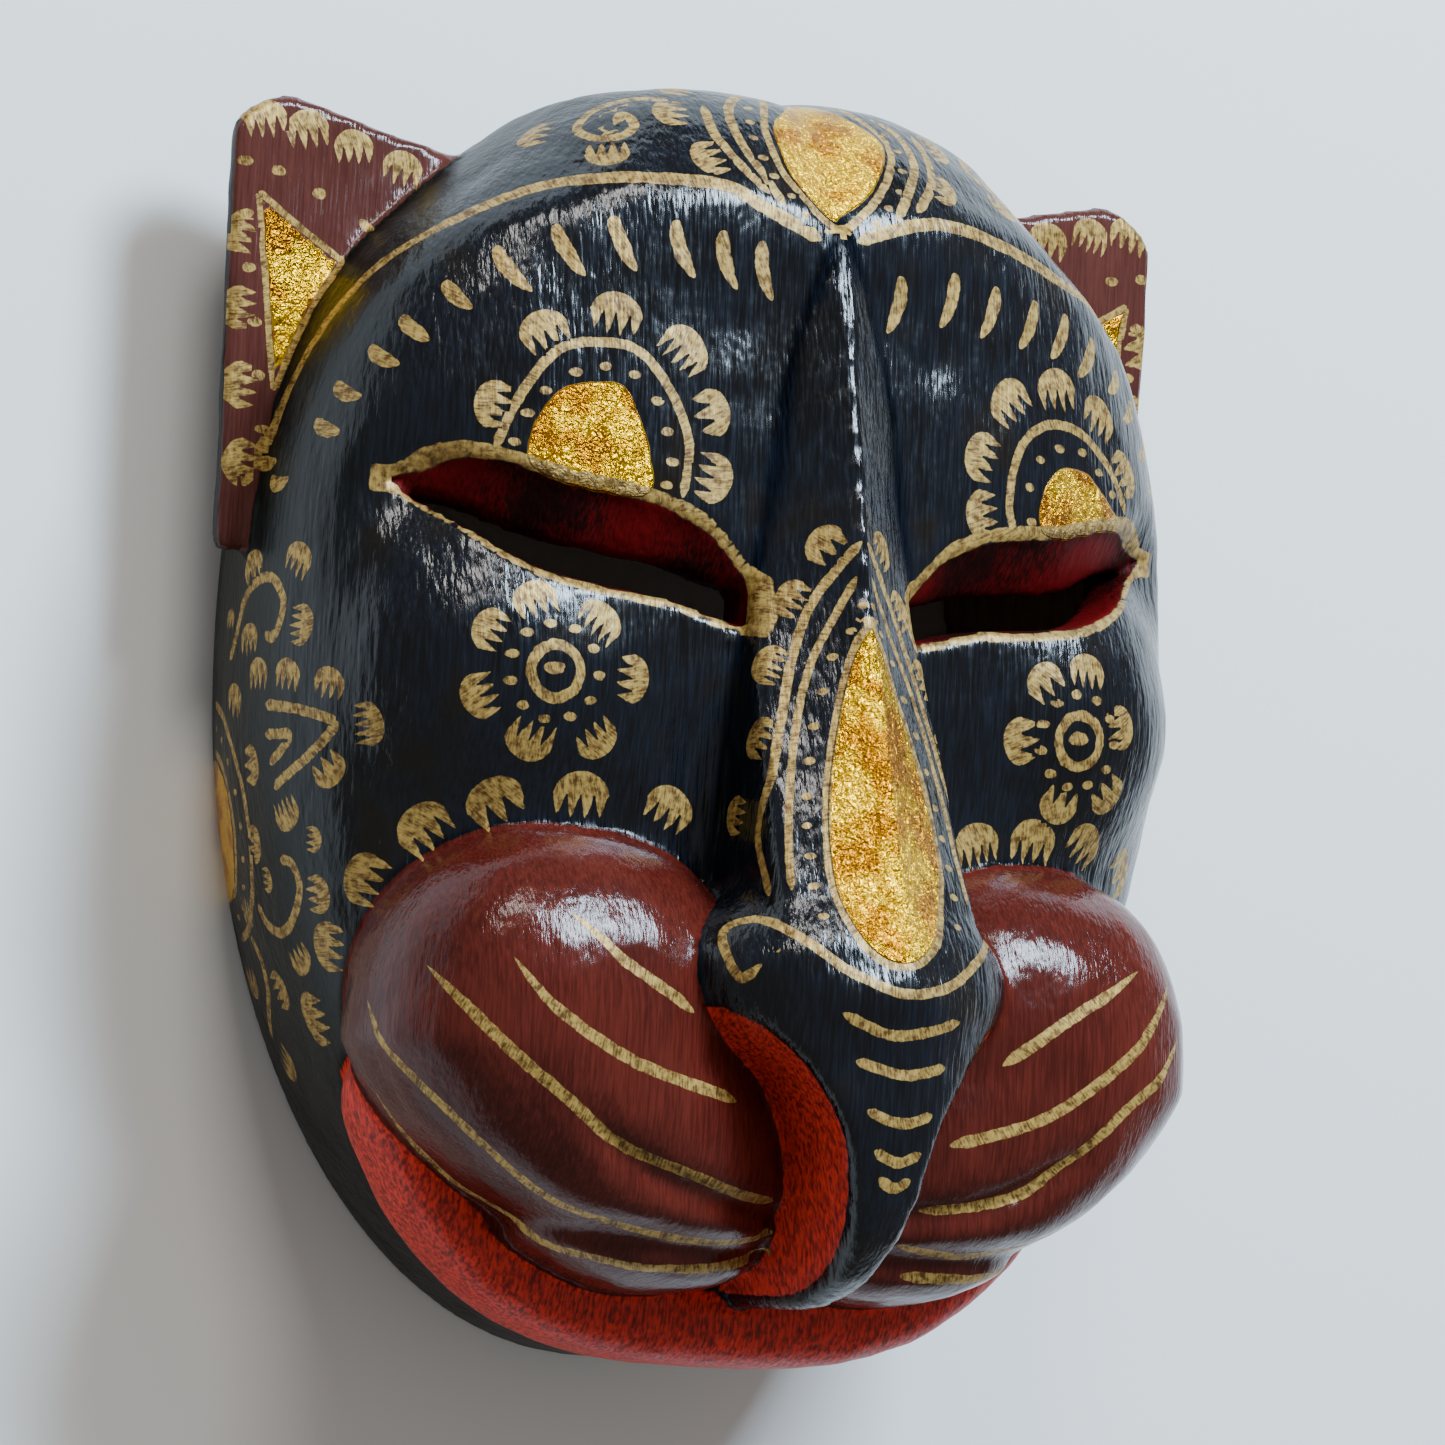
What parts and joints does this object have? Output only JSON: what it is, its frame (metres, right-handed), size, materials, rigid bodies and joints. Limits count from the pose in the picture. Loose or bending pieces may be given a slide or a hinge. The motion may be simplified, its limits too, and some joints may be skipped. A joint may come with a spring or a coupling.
{
  "type": "carved wooden cat mask",
  "caption": "Cat face mask carved from one block of wood, hollow behind, with a long nose and beak, muzzle pads, pricked ears and slit eyes, painted with batik ornament in gold on black.",
  "frame": {"origin": "centre of the bounding box's underside, on the plane that the rim lies on", "axes": "+X across the face to the right of the picture, +Y from the chin to the crown, +Z from the rim out to the nose"},
  "size_m": [0.1838, 0.2182, 0.107],
  "materials": {
    "painted_wood": "glossy black lacquer on carved wood, with maroon, vermilion and gold paint"
  },
  "bodies": {
    "root": {"mask": "painted_wood"}
  },
  "joints": []
}
